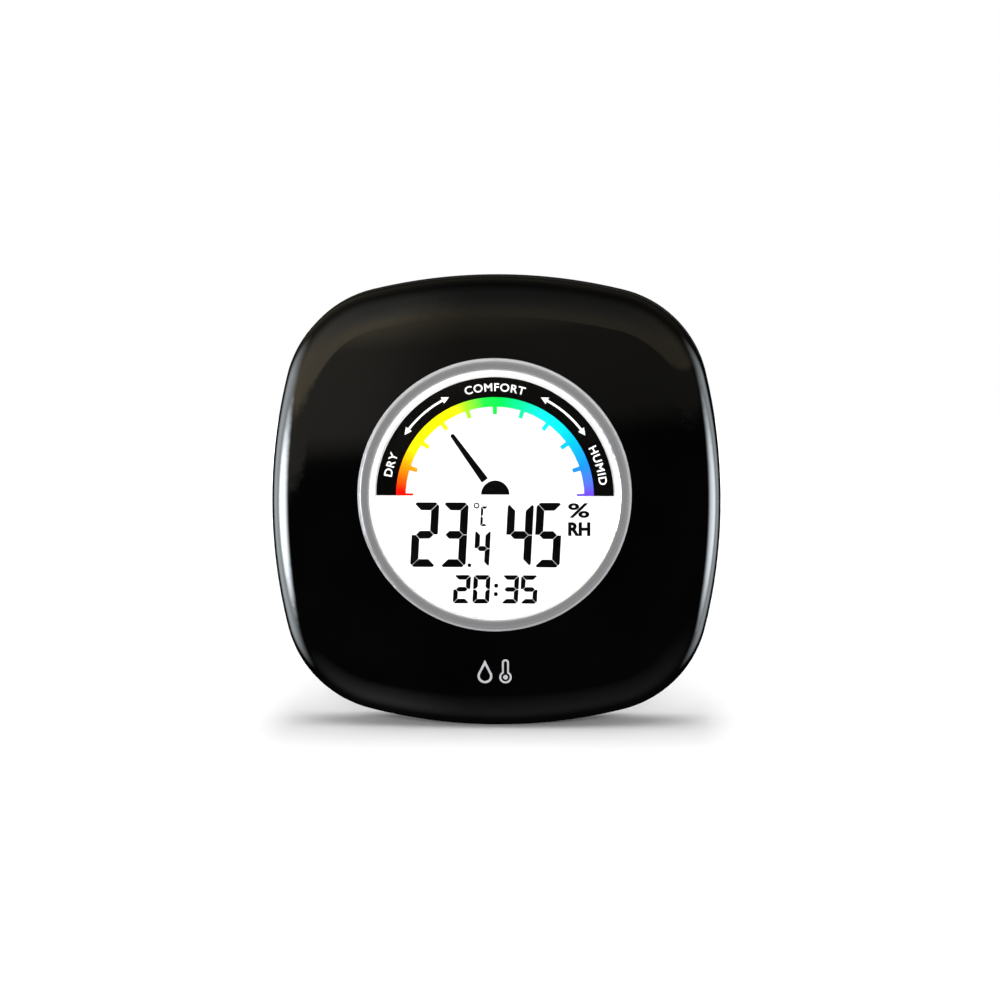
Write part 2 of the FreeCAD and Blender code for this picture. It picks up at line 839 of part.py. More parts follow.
def battery_door():
    half_x, half_z = door_half_x, door_half_z
    cover = plate(half_x, half_z, door_front, case_depth, bay_z)
    thumb = disc(finger_radius, case_depth - 0.6, case_depth + 1, 0, bay_z + half_z - 2)
    cover = cover.cut(thumb)
    back = case_depth - door_tab_depth
    front = back - door_tab_thickness
    tabs = []
    for side in (-1, 1):
        middle = side * door_tab_x
        low = door_hinge_z - door_tab_reach
        high = door_hinge_z + door_overlap
        tabs.append(block(middle - door_tab_half, middle + door_tab_half, front, back, low, high))
    latch = block(-4, 4, door_front - 1.0, door_front, bay_z + bay_half_z - 2.0, bay_z + bay_half_z - 0.6)
    return one([cover, latch] + tabs)


# ---------------------------------------------------------------- keys and foot


def key(place):
    x, z = place
    inside = case_depth - wall
    cap = disc(key_radius, inside - gap, case_depth + key_proud, x, z)
    rim = [edge for edge in cap.Edges if edge.BoundBox.YMin > at(case_depth + key_proud) - 0.01]
    cap = cap.makeFillet(0.5, rim)
    flange = disc(key_flange, inside - key_lift - key_flange_height, inside - key_lift, x, z)
    stem = disc(key_stem, switch_top + key_travel + key_lift, inside - key_lift, x, z)
    return one([cap, flange, stem])


def pad_places():
    y = hinge_y + foot_length - pad_from_end
    return [V(side * pad_x, y, 0) for side in (-1, 1)]


def table_foot():
    leaf = Part.makeBox(
        2 * foot_half, foot_length, foot_thickness, V(-foot_half, hinge_y, pad_proud)
    )
    end = hinge_y + foot_length
    corners = [
        edge for edge in leaf.Edges
        if edge.BoundBox.YMin > end - 0.01 and abs(edge.tangentAt(edge.FirstParameter).z) > 0.9
    ]
    leaf = leaf.makeFillet(foot_corner, corners)
    barrel = rod(foot_barrel, -foot_half, foot_half, hinge_y, hinge_z)
    stubs = rod(foot_stub, -foot_half - foot_stub_length, foot_half + foot_stub_length, hinge_y, hinge_z)
    pockets = [Part.makeCylinder(pad_radius + slip, pad_thickness, place, ALONG_Z) for place in pad_places()]
    return one([leaf, barrel, stubs]).cut(pockets)


def foot_pads():
    return [Part.makeCylinder(pad_radius, pad_thickness, place, ALONG_Z) for place in pad_places()]


# ---------------------------------------------------------------- writing

nodes = {
    "front_cover": front_cover(),
    "rear_cover": rear_cover(),
    "bezel_ring": bezel_ring(),
    "window_lens": window_lens(),
    "window_tape": window_tape(),
    "dust_gasket": dust_gasket(),
    "lcd_front_polariser": lcd_front_polariser(),
    "lcd_front_glass": lcd_front_glass(),
    "lcd_edge_seal": lcd_edge_seal(),
    "lcd_rear_glass": lcd_rear_glass(),
    "lcd_reflector": lcd_reflector(),
    "scale_band": scale_band(),
    "scale_colours": scale_colours(),
    "scale_arrows": scale_arrows(),
    "lcd_pointer": lcd_pointer(),
    "lcd_temperature": lcd_temperature(),
    "lcd_humidity": lcd_humidity(),
    "lcd_clock": lcd_clock(),
    "lcd_frame": lcd_frame(),
    "zebra_strip": zebra_strip(),
    "main_pcb": main_pcb(),
    "controller_blob": controller_blob(),
    "clock_crystal": clock_crystal(),
    "capacitor": capacitor(),
    "chip_components": chip_components(),
    "humidity_sensor": humidity_sensor(),
    "thermistor": thermistor(),
    "key_switches": key_switches(),
    "case_screws": case_screws(),
    "pcb_screws": pcb_screws(),
    "battery_upper": cell(1),
    "battery_lower": cell(-1),
    "terminal_positive": terminal_positive(),
    "terminal_negative": terminal_negative(),
    "terminal_bridge": terminal_bridge(),
    "terminal_springs": terminal_springs(),
    "lead_red": lead_red(),
    "lead_black": lead_black(),
    "battery_door": battery_door(),
    "table_foot": table_foot(),
    "foot_pads": foot_pads(),
}
for name, place in key_places.items():
    nodes["key_" + name] = key(place)

os.makedirs("parts", exist_ok=True)
for name, shape in nodes.items():
    if isinstance(shape, list):
        shape = Part.makeCompound(shape)
    solids = len(shape.Solids)
    if not shape.isValid() or not solids:
        raise ValueError(f"{name} is not a valid solid")
    shape.exportStep(f"parts/{name}.step")
    box = shape.BoundBox
    size = f"{box.XLength:.2f} x {box.YLength:.2f} x {box.ZLength:.2f}"
    print(f"{name}: {solids} solid(s), {size} mm, {shape.Volume / 1000:.3f} cm3")
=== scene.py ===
"""Looks of the desk thermo-hygrometer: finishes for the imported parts, the printed words and marks,
panes with ground edges, and a plain studio."""

import math

import bpy
import numpy as np
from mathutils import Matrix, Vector


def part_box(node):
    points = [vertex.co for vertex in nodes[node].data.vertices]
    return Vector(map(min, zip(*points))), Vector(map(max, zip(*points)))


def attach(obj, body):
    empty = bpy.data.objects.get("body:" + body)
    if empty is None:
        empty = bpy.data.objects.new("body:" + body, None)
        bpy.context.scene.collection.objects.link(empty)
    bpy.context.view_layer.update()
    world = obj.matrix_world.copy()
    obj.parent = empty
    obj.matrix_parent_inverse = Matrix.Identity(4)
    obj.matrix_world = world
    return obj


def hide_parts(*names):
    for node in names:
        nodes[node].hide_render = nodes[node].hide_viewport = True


MM = 0.001

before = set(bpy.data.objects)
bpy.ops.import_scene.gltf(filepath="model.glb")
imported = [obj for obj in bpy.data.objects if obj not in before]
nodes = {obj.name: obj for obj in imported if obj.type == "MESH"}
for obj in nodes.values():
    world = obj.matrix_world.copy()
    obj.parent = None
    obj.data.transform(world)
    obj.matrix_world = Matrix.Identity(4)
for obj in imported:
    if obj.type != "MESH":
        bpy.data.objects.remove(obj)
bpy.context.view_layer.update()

# ---------------------------------------------------------------- measures of the part

# The front is a dome. Round it run four bulging sides and four corners, and the edges are rounded
# as by a ball that rolls round them.
DOME_RADIUS = 250 * MM
CASE_MIDDLE_Z = 47.5 * MM
SIDE_RADIUS = 113 * MM
CORNER_RADIUS = 23.7 * MM
FRONT_ROLL = 9 * MM
BACK_ROLL = 7 * MM

# The ring's front lies behind the dome's pole.
RING_SET_BACK = 0.9 * MM
RING_WIDTH = 2.45 * MM

# The scale and its words run round the pointer's pivot.
PIVOT_Z = 49.6 * MM
WORD_RADIUS = 22.9 * MM

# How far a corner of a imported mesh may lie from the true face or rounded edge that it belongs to,
# and how closely a triangle has to face the way of its corners' true normals, as a cosine.
FACE_TOLERANCE = 0.003 * MM
ROLL_TOLERANCE = 0.004 * MM
SAME_WAY = 0.8

# A pane is this much thinner than the part it stands for, so that no faces coincide.
PANE_GAP = 0.02 * MM

print_front, print_back = (corner.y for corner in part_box("scale_arrows"))
segment_front, segment_back = (corner.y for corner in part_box("lcd_clock"))
dome_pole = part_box("bezel_ring")[0].y - RING_SET_BACK
back_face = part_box("rear_cover")[1].y


# ---------------------------------------------------------------- materials


def tint(code):
    """An sRGB hex colour as linear RGBA."""
    channels = [int(code[i : i + 2], 16) / 255 for i in (1, 3, 5)]
    return [c / 12.92 if c <= 0.04045 else ((c + 0.055) / 1.055) ** 2.4 for c in channels] + [1.0]


def add(tree, kind, inputs=None, stops=(), **settings):
    """Adds a node with its settings. Each input takes a value or another node's output, and a
    colour ramp takes its stops as (place, hex) pairs."""
    node = tree.nodes.new("ShaderNode" + kind)
    for name, value in settings.items():
        setattr(node, name, value)
    for name, value in (inputs or {}).items():
        if isinstance(value, bpy.types.NodeSocket):
            tree.links.new(value, node.inputs[name])
        else:
            node.inputs[name].default_value = value
    if stops:
        elements = node.color_ramp.elements
        while len(elements) < len(stops):
            elements.new(0.5)
        for element, (place, code) in zip(elements, stops):
            element.position = place
            element.color = tint(code)
    return node


def new_material(name):
    """An empty material and its node tree."""
    material = bpy.data.materials.new(name)
    material.use_nodes = True
    material.node_tree.nodes.clear()
    return material, material.node_tree


def fine_grain(tree, place, grain, rough):
    """The height of a fine grain, and the uneven roughness that it gives between two values."""
    fine = add(tree, "TexNoise", {"Vector": place, "Scale": 1 / grain, "Detail": 2.0})
    gloss = add(
        tree,
        "MapRange",
        {"Value": fine.outputs["Fac"], "To Min": rough[0], "To Max": rough[1]},
    )
    return fine.outputs["Fac"], gloss.outputs["Result"]


def grained(name, dark, light, rough, grain, relief, drift=12 * MM, **sockets):
    """A moulded, cast or coated surface: its colour drifts between two tints over a few
    millimetres, and a fine grain gives its relief and makes its gloss uneven."""
    material, tree = new_material(name)
    place = add(tree, "TexCoord").outputs["Object"]
    clouds = add(tree, "TexNoise", {"Vector": place, "Scale": 1 / drift, "Detail": 3.0})
    colour = add(
        tree, "ValToRGB", {"Fac": clouds.outputs["Fac"]}, stops=[(0.3, dark), (0.7, light)]
    )
    height, gloss = fine_grain(tree, place, grain, rough)
    bump = add(tree, "Bump", {"Height": height, "Strength": 1.0, "Distance": relief})
    shader = add(
        tree,
        "BsdfPrincipled",
        {
            "Base Color": colour.outputs["Color"],
            "Roughness": gloss,
            "Normal": bump.outputs["Normal"],
            **{socket.replace("_", " "): value for socket, value in sockets.items()},
        },
    )
    add(tree, "OutputMaterial", {"Surface": shader.outputs[0]})
    return material


def clear(name, code, ior, roughness):
    """A thin clear pane: light passes straight on, and the faces it enters by reflect a little."""
    material, tree = new_material(name)
    through = add(tree, "BsdfTransparent", {"Color": tint(code)})
    gloss = add(tree, "BsdfAnisotropic", {"Color": tint("#FFFFFF"), "Roughness": roughness})
    fresnel = add(tree, "Fresnel", {"IOR": ior})
    inside = add(tree, "NewGeometry").outputs["Backfacing"]
    entering = add(tree, "Math", {0: 1.0, 1: inside}, operation="SUBTRACT")
    share = add(
        tree, "Math", {0: fresnel.outputs[0], 1: entering.outputs[0]}, operation="MULTIPLY"
    )
    mix = add(
        tree, "MixShader", {0: share.outputs[0], 1: through.outputs[0], 2: gloss.outputs[0]}
    )
    add(tree, "OutputMaterial", {"Surface": mix.outputs[0]})
    return material


# Piano-black ABS from a mirror-polished mould: deep black, and it shows the room as sharp
# reflections.
gloss_abs = grained(
    "piano_black_abs", "#010101", "#030303", (0.035, 0.06), 0.8 * MM, 0.0002 * MM, 25 * MM,
    IOR=1.54,
)
# The same ABS from a spark-eroded mould: soft, even sheen over a grain of a third of a millimetre.
grain_abs = grained(
    "spark_eroded_abs", "#121213", "#18181A", (0.36, 0.5), 0.35 * MM, 0.02 * MM, IOR=1.54
)
# Finer spark-eroded grain on the foot, handled most, so a touch glossier.
foot_abs = grained(
    "fine_grain_abs", "#161617", "#1C1C1D", (0.3, 0.42), 0.25 * MM, 0.012 * MM, 18 * MM, IOR=1.54
)
# Key caps of satin ABS, a shade lighter than the cover.
key_abs = grained(
    "satin_key_abs", "#1D1D1F", "#232326", (0.28, 0.36), 0.2 * MM, 0.005 * MM, IOR=1.54
)
# Acrylic foam tape with a matt, slightly fibrous edge.
tape = grained(
    "acrylic_foam_tape", "#0C0C0C", "#161616", (0.75, 0.9), 0.15 * MM, 0.02 * MM, IOR=1.47
)
# White closed-cell polyurethane foam: open pores of about a quarter of a millimetre on the cut
# faces.
foam = grained(
    "polyurethane_foam", "#F2F2F1", "#FAFAF9", (0.85, 1.0), 0.25 * MM, 0.08 * MM, IOR=1.5
)
# Epoxy seal round the liquid crystal, cured milky and fairly smooth.
seal = grained(
    "cured_epoxy_seal", "#F0F0EC", "#F6F6F3", (0.3, 0.4), 0.3 * MM, 0.003 * MM, IOR=1.55
)
# Diffusing film behind the display: bright, matt and even, so that the segments stand out.
reflector = grained(
    "white_reflector_film", "#FAFAFA", "#FDFDFD", (0.7, 0.8), 0.2 * MM, 0.001 * MM, IOR=1.45
)
# Screen-print inks, seen through the window: opaque and almost matt.
black_ink = grained(
    "black_screen_ink", "#020202", "#040404", (0.55, 0.65), 0.2 * MM, 0.001 * MM,
    IOR=1.5, Specular_IOR_Level=0.1,
)
white_ink = grained(
    "white_screen_ink", "#F4F4F2", "#FBFBFA", (0.5, 0.6), 0.2 * MM, 0.001 * MM, IOR=1.5
)
# Segments of the liquid crystal, switched dark: flat black, and no gloss of their own.
segment_ink = grained(
    "dark_liquid_crystal", "#020203", "#050506", (0.5, 0.6), 0.5 * MM, 0.0005 * MM,
    IOR=1.5, Specular_IOR_Level=0.1,
)
# Pad print on the case: pale silver ink, with a slight metallic sparkle.
silver_ink = grained(
    "silver_pad_print", "#A9AAAD", "#BCBDC0", (0.4, 0.5), 0.12 * MM, 0.002 * MM, 3 * MM,
    IOR=1.5, Metallic=0.3,
)
# White moulded ABS of the frame that holds the display to the board, with a faint grain.
frame_abs = grained(
    "white_moulded_abs", "#F2F2F0", "#F8F8F6", (0.4, 0.5), 0.3 * MM, 0.01 * MM, IOR=1.54
)
# Cast epoxy over the controller: glossy, with a slow ripple.
blob = grained(
    "cast_black_epoxy", "#060606", "#0C0C0C", (0.12, 0.22), 1.5 * MM, 0.05 * MM, IOR=1.55
)
# Sintered cap of the humidity sensor, off-white and dull.
sensor = grained(
    "sintered_sensor_cap", "#D0D4D8", "#E0E4E8", (0.6, 0.75), 0.12 * MM, 0.02 * MM, IOR=1.5
)
# Dipped resin of the temperature bead: dark brown, wet-looking and a little uneven.
bead = grained("dipped_resin", "#1C120A", "#2A1A10", (0.15, 0.25), 0.6 * MM, 0.02 * MM, IOR=1.55)
# Glass-filled nylon of the switches: black, with a dull, slightly rough skin.
nylon = grained("black_nylon", "#171717", "#202020", (0.4, 0.55), 0.15 * MM, 0.01 * MM, IOR=1.53)
# PVC of the two leads, smooth from the extruder, with a soft shine.
red_pvc = grained("red_pvc", "#9C0C0C", "#B01414", (0.35, 0.45), 0.4 * MM, 0.005 * MM, IOR=1.53)
black_pvc = grained(
    "black_pvc", "#0E0E0E", "#161616", (0.35, 0.45), 0.4 * MM, 0.005 * MM, IOR=1.53
)
# Silicone rubber pads under the foot, matt, with a dusty bloom.
rubber = grained(
    "silicone_rubber", "#141414", "#222222", (0.7, 0.9), 0.3 * MM, 0.03 * MM, 6 * MM, IOR=1.43
)
# Bare metals: warm nickel plate on the contacts, grey zinc plate on the screws, and the drawn cans
# of the crystal and the capacitor.
nickel = grained(
    "nickel_plate", "#B8B4AC", "#CFCBC2", (0.18, 0.32), 0.3 * MM, 0.004 * MM, Metallic=1.0
)
zinc = grained(
    "zinc_plate", "#84878C", "#A2A5A8", (0.25, 0.42), 0.2 * MM, 0.006 * MM, 2 * MM, Metallic=1.0
)
drawn_can = grained(
    "drawn_can", "#B4B4B2", "#CACAC8", (0.2, 0.3), 0.2 * MM, 0.004 * MM, 3 * MM, Metallic=1.0
)

# Window of cast acrylic with an anti-glare coat, and the panes of the display. The panes are
# bonded. All their faces reflect less than bare ones would.
acrylic = clear("coated_cast_acrylic", "#FFFFFF", 1.22, 0.04)
film = clear("polariser_film", "#FFFFFF", 1.2, 0.1)
float_glass = clear("float_glass", "#FFFFFF", 1.1, 0.01)


def turned_ring():
    """Aluminium, turned and anodised satin grey, with concentric tool marks that stretch each
    highlight round the ring. The outer bevel is bead-blasted and more matt than the face, and its
    slightly paler colour is a painted highlight. The inner edge is cut bright with a diamond, and
    its near-white colour is a painted highlight line."""
    tool_pitch = 0.12 * MM
    bevel_from, bevel_to = 0.74, 0.86  # as a share of the ring's width, from the inner edge
    material, tree = new_material("turned_anodised_aluminium")
    place = add(tree, "TexCoord").outputs["Object"]
    low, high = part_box("bezel_ring")
    middle = (low + high) / 2
    outer = (high.x - low.x) / 2
    flat = add(
        tree, "VectorMath", {0: place, 1: (middle.x, 0, middle.z)}, operation="SUBTRACT"
    )
    radial = add(tree, "VectorMath", {0: flat.outputs[0], 1: (1, 0, 1)}, operation="MULTIPLY")
    radius = add(tree, "VectorMath", {0: radial.outputs[0]}, operation="LENGTH").outputs["Value"]
    pitch = add(tree, "Math", {0: radius, 1: 2 * math.pi / tool_pitch}, operation="MULTIPLY")
    marks = add(tree, "Math", {0: pitch.outputs[0]}, operation="SINE")
    fine = add(tree, "TexNoise", {"Vector": place, "Scale": 1 / (0.25 * MM), "Detail": 2.0})
    height = add(tree, "Math", {0: marks.outputs[0], 1: fine.outputs["Fac"]}, operation="ADD")
    bump = add(tree, "Bump", {"Height": height.outputs[0], "Distance": 0.002 * MM})
    share = add(
        tree,
        "MapRange",
        {"Value": radius, "From Min": outer - RING_WIDTH, "From Max": outer},
    ).outputs["Result"]
    # Painted highlights: near white at the inner edge, fading onto the face, and a little paler on
    # the outer bevel.
    colour = add(
        tree,
        "ValToRGB",
        {"Fac": share},
        stops=[
            (0.0, "#F0F0F1"), (0.08, "#E0E1E3"), (0.14, "#AAABAE"), (0.45, "#9E9FA2"),
            (bevel_from, "#AEAFB2"), (bevel_to, "#A6A6A8"),
        ],
    )
    cut = add(
        tree,
        "ValToRGB",
        {"Fac": share},
        stops=[
            (0.1, "#8C8C8C"), (0.16, "#A8A8A8"), (bevel_from, "#B0B0B0"), (bevel_to, "#BCBCBC"),
        ],
    )
    metal = add(
        tree,
        "MapRange",
        {
            "Value": share,
            "From Min": bevel_from,
            "From Max": bevel_to,
            "To Min": 0.7,
            "To Max": 0.25,
        },
    )
    shader = add(
        tree,
        "BsdfPrincipled",
        {
            "Base Color": colour.outputs["Color"],
            "Metallic": metal.outputs[0],
            "Roughness": cut.outputs["Color"],
            "Normal": bump.outputs["Normal"],
        },
    )
    add(tree, "OutputMaterial", {"Surface": shader.outputs[0]})
    return material


def comfort_inks():
    """Screen-print inks of the comfort arc, opaque and almost matt, blended round the pivot from
    red at the dry end to violet."""
    material, tree = new_material("comfort_arc_inks")
    place = add(tree, "TexCoord").outputs["Object"]
    parts = add(tree, "SeparateXYZ", {0: place})
    height = add(tree, "Math", {0: parts.outputs["Z"], 1: PIVOT_Z}, operation="SUBTRACT")
    turn = add(tree, "Math", {0: height.outputs[0], 1: parts.outputs["X"]}, operation="ARCTAN2")
    share = add(
        tree, "MapRange", {"Value": turn.outputs[0], "From Min": math.pi, "From Max": 0.0}
    )
    colour = add(
        tree,
        "ValToRGB",
        {"Fac": share.outputs["Result"]},
        stops=[
            (0.0, "#F00000"), (0.02, "#F01400"), (0.055, "#F05000"), (0.1, "#EE8600"),
            (0.16, "#EEC400"), (0.22, "#EEE000"), (0.34, "#EEE400"), (0.40, "#8CD81E"),
            (0.46, "#1ED03C"), (0.52, "#00CC46"), (0.60, "#0AC48C"), (0.67, "#0ACCC4"),
            (0.74, "#00C0D6"), (0.81, "#00A2E6"), (0.90, "#1478E6"), (0.96, "#4660DC"),
            (0.99, "#5A3CC8"),
        ],
    )
    _, gloss = fine_grain(tree, place, 0.2 * MM, (0.5, 0.6))
    shader = add(
        tree,
        "BsdfPrincipled",
        {
            "Base Color": colour.outputs["Color"],
            "Roughness": gloss,
            "IOR": 1.5,
            "Specular IOR Level": 0.1,
        },
    )
    add(tree, "OutputMaterial", {"Surface": shader.outputs[0]})
    return material


def solder_mask():
    """Green solder mask over copper tracks: semi-gloss, and the tracks show as paler lines."""
    track_width, track_pitch, track_length = 0.4 * MM, 1.6 * MM, 11 * MM
    material, tree = new_material("green_solder_mask")
    place = add(tree, "TexCoord").outputs["Object"]
    upright = add(tree, "Mapping", {"Vector": place, "Rotation": (math.pi / 2, 0, 0)})
    tracks = add(
        tree,
        "TexBrick",
        {
            "Vector": upright.outputs[0],
            "Scale": 1.0,
            "Color1": tint("#0C4A24"),
            "Color2": tint("#0A4220"),
            "Mortar": tint("#1E7A3C"),
            "Mortar Size": track_width / 2,
            "Mortar Smooth": 0.3,
            "Brick Width": track_length,
            "Row Height": track_pitch,
        },
    )
    bump = add(tree, "Bump", {"Height": tracks.outputs["Fac"], "Distance": 0.03 * MM})
    _, gloss = fine_grain(tree, place, 0.4 * MM, (0.2, 0.34))
    shader = add(
        tree,
        "BsdfPrincipled",
        {
            "Base Color": tracks.outputs["Color"],
            "Roughness": gloss,
            "IOR": 1.5,
            "Normal": bump.outputs["Normal"],
        },
    )
    add(tree, "OutputMaterial", {"Surface": shader.outputs[0]})
    return material


def striped_silicone():
    """Conductive silicone strip: black and pale layers with a dull skin. They are drawn 0.5 mm
    apart, as coarse as they need to be to show. Real ones are 0.1 mm apart."""
    layer_pitch = 0.5 * MM
    own_factor = 20  # the wave texture multiplies its scale by this
    material, tree = new_material("zebra_silicone")
    place = add(tree, "TexCoord").outputs["Object"]
    waves = add(
        tree,
        "TexWave",
        {"Vector": place, "Scale": 2 * math.pi / (own_factor * layer_pitch)},
        wave_type="BANDS",
        bands_direction="X",
    )
    colour = add(
        tree,
        "ValToRGB",
        {"Fac": waves.outputs["Fac"]},
        stops=[(0.45, "#1A1A1C"), (0.55, "#8C8A86")],
    )
    _, gloss = fine_grain(tree, place, 0.3 * MM, (0.5, 0.7))
    shader = add(
        tree,
        "BsdfPrincipled",
        {"Base Color": colour.outputs["Color"], "Roughness": gloss, "IOR": 1.43},
    )
    add(tree, "OutputMaterial", {"Surface": shader.outputs[0]})
    return material


def chip_ceramic():
    """Chip components: dull brown ceramic with bright tinned ends, 0.35 mm long."""
    row, ceramic_half = 10.5 * MM, 0.65 * MM  # the chips stand in two rows, left and right
    material, tree = new_material("chip_ceramic")
    place = add(tree, "TexCoord").outputs["Object"]
    parts = add(tree, "SeparateXYZ", {0: place})
    side = add(tree, "Math", {0: parts.outputs["X"]}, operation="ABSOLUTE")
    along = add(tree, "Math", {0: side.outputs[0], 1: row}, operation="SUBTRACT")
    reach = add(tree, "Math", {0: along.outputs[0]}, operation="ABSOLUTE")
    ends = add(tree, "Math", {0: reach.outputs[0], 1: ceramic_half}, operation="GREATER_THAN")
    colour = add(
        tree, "ValToRGB", {"Fac": ends.outputs[0]}, stops=[(0.0, "#4A3424"), (1.0, "#C8C8C4")]
    )
    gloss = add(tree, "MapRange", {"Value": ends.outputs[0], "To Min": 0.55, "To Max": 0.3})
    fine = add(tree, "TexNoise", {"Vector": place, "Scale": 1 / (0.15 * MM)})
    bump = add(tree, "Bump", {"Height": fine.outputs["Fac"], "Distance": 0.005 * MM})
    shader = add(
        tree,
        "BsdfPrincipled",
        {
            "Base Color": colour.outputs["Color"],
            "Metallic": ends.outputs[0],
            "Roughness": gloss.outputs["Result"],
            "Normal": bump.outputs["Normal"],
        },
    )
    add(tree, "OutputMaterial", {"Surface": shader.outputs[0]})
    return material


def cell_sleeve(name, nub_side):
    """Printed foil sleeve of an AAA cell, with a metallic shine: dark blue, then a pale line and a
    copper-coloured band at the nub end, and bare steel on both end faces."""
    bare, line, band, nub = 0.6 * MM, 12 * MM, 11.4 * MM, 1.8 * MM  # from the nearer end
    low, high = (corner.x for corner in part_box(name))
    colours = ("#A8A8A6", "#1E3E78", "#E8E8E8", "#C07A3C", "#B4B4B2")
    starts = (low, low + bare, high - line, high - band, high - nub)
    if nub_side < 0:
        colours = colours[::-1]
        starts = (low, low + nub, low + band, low + line, high - bare)
    last = starts[-1] + 1 * MM
    material, tree = new_material(name + "_sleeve")
    place = add(tree, "TexCoord").outputs["Object"]
    parts = add(tree, "SeparateXYZ", {0: place})
    share = add(
        tree, "MapRange", {"Value": parts.outputs["X"], "From Min": low, "From Max": last}
    )
    colour = add(
        tree,
        "ValToRGB",
        {"Fac": share.outputs["Result"]},
        stops=[((at - low) / (last - low), code) for at, code in zip(starts, colours)],
    )
    colour.color_ramp.interpolation = "CONSTANT"
    height, gloss = fine_grain(tree, place, 0.8 * MM, (0.22, 0.3))
    bump = add(tree, "Bump", {"Height": height, "Distance": 0.004 * MM})
    shader = add(
        tree,
        "BsdfPrincipled",
        {
            "Base Color": colour.outputs["Color"],
            "Metallic": 0.6,
            "Roughness": gloss,
            "Normal": bump.outputs["Normal"],
        },
    )
    add(tree, "OutputMaterial", {"Surface": shader.outputs[0]})
    return material


finishes = {
    "front_cover": gloss_abs, "rear_cover": grain_abs, "battery_door": grain_abs,
    "table_foot": foot_abs, "foot_pads": rubber,
    "key_set": key_abs, "key_mode": key_abs, "key_plus": key_abs, "key_minus": key_abs,
    "bezel_ring": turned_ring(), "window_lens": acrylic, "window_tape": tape, "dust_gasket": foam,
    "lcd_front_polariser": film, "lcd_front_glass": float_glass, "lcd_rear_glass": float_glass,
    "lcd_edge_seal": seal, "lcd_reflector": reflector,
    "scale_band": black_ink, "scale_colours": comfort_inks(), "scale_arrows": white_ink,
    "lcd_pointer": segment_ink, "lcd_temperature": segment_ink, "lcd_humidity": segment_ink,
    "lcd_clock": segment_ink, "lcd_frame": frame_abs, "zebra_strip": striped_silicone(),
    "main_pcb": solder_mask(), "controller_blob": blob, "clock_crystal": drawn_can,
    "capacitor": drawn_can, "chip_components": chip_ceramic(), "humidity_sensor": sensor,
    "thermistor": bead, "key_switches": nylon, "case_screws": zinc, "pcb_screws": zinc,
    "battery_upper": cell_sleeve("battery_upper", 1),
    "battery_lower": cell_sleeve("battery_lower", -1),
    "terminal_positive": nickel, "terminal_negative": nickel, "terminal_bridge": nickel,
    "terminal_springs": nickel, "lead_red": red_pvc, "lead_black": black_pvc,
}


def dress(piece, material):
    piece.data.materials.clear()
    piece.data.materials.append(material)


for name, material in finishes.items():
    dress(nodes[name], material)


# ---------------------------------------------------------------- how the pieces are made


def smooth_copy(name, angle):
    """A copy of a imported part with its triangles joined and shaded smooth, shown in its place."""
    bpy.ops.object.select_all(action="DESELECT")
    piece = nodes[name].copy()
    piece.data = nodes[name].data.copy()
    piece.name = piece.data.name = name + "_skin"
    for key in list(piece.keys()):
        del piece[key]
    piece.parent = None
    bpy.context.scene.collection.objects.link(piece)
    piece.select_set(True)
    bpy.context.view_layer.objects.active = piece
    bpy.ops.object.mode_set(mode="EDIT")
    bpy.ops.mesh.select_all(action="SELECT")
    bpy.ops.mesh.remove_doubles(threshold=0.001 * MM)
    bpy.ops.object.mode_set(mode="OBJECT")
    bpy.ops.object.shade_smooth_by_angle(angle=math.radians(angle))
    return piece


def outline(inset, steps=300):
    """The case's outline about its middle, inset all round: four bulging sides and four corners."""
    side, corner = SIDE_RADIUS - inset, CORNER_RADIUS - inset
    shift, reach = SIDE_RADIUS - CASE_MIDDLE_Z, side - corner
    centre = (math.sqrt(2 * reach**2 - shift**2) - shift) / 2
    turn = math.atan2(centre, centre + shift)
    along = np.linspace(-turn, turn, steps)
    round_corner = np.linspace(turn, math.pi / 2 - turn, steps)
    x = np.r_[side * np.cos(along) - shift, centre + corner * np.cos(round_corner)]
    z = np.r_[side * np.sin(along), centre + corner * np.sin(round_corner)]
    quarters = [(x, z), (-z, x), (-x, -z), (z, -x)]
    return np.vstack([np.c_[across, up] for across, up in quarters])


def polish(piece, rolls, flat_y):
    """Gives the case's outer faces the normals of its true dome, rolled edge and walls, so that
    reflections run over them without kinks. rolls holds the middles of the ball that rolls round
    the edge, its radius and the way it faces. flat_y is the back face, or None for the dome."""
    middles, radius, way = rolls
    mesh = piece.data
    places = np.array([v.co for v in mesh.vertices])
    normals = np.zeros_like(places)
    outer = np.zeros(len(places), bool)
    for i, place in enumerate(places):
        if flat_y is None:
            arm = place - np.array((0, dome_pole + DOME_RADIUS, CASE_MIDDLE_Z))
            off_end = abs(np.linalg.norm(arm) - DOME_RADIUS)
            on_end = off_end < FACE_TOLERANCE and place[1] < 0
            end_normal = arm / np.linalg.norm(arm)
        else:
            on_end = abs(place[1] - flat_y) < FACE_TOLERANCE
            end_normal = np.array((0.0, 1.0, 0.0))
        if on_end:
            normals[i], outer[i] = end_normal, True
            continue
        ahead = way * (place[1] - middles[:, 1])
        across = place[[0, 2]] - middles[:, [0, 2]]
        distance = np.hypot(np.linalg.norm(across, axis=1), np.maximum(ahead, 0))
        nearest = distance.argmin()
        if abs(distance[nearest] - radius) < ROLL_TOLERANCE:
            right, up = across[nearest]
            arm = np.array((right, way * max(ahead[nearest], 0), up))
            normals[i], outer[i] = arm / np.linalg.norm(arm), True
    corner_normals = [(0.0, 0.0, 0.0)] * len(mesh.loops)
    for face in mesh.polygons:
        faces_out = np.dot(normals[face.vertices[0]], face.normal) > SAME_WAY
        if faces_out and all(outer[v] for v in face.vertices):
            for loop in face.loop_indices:
                corner_normals[loop] = tuple(normals[mesh.loops[loop].vertex_index])
    mesh.normals_split_custom_set(corner_normals)


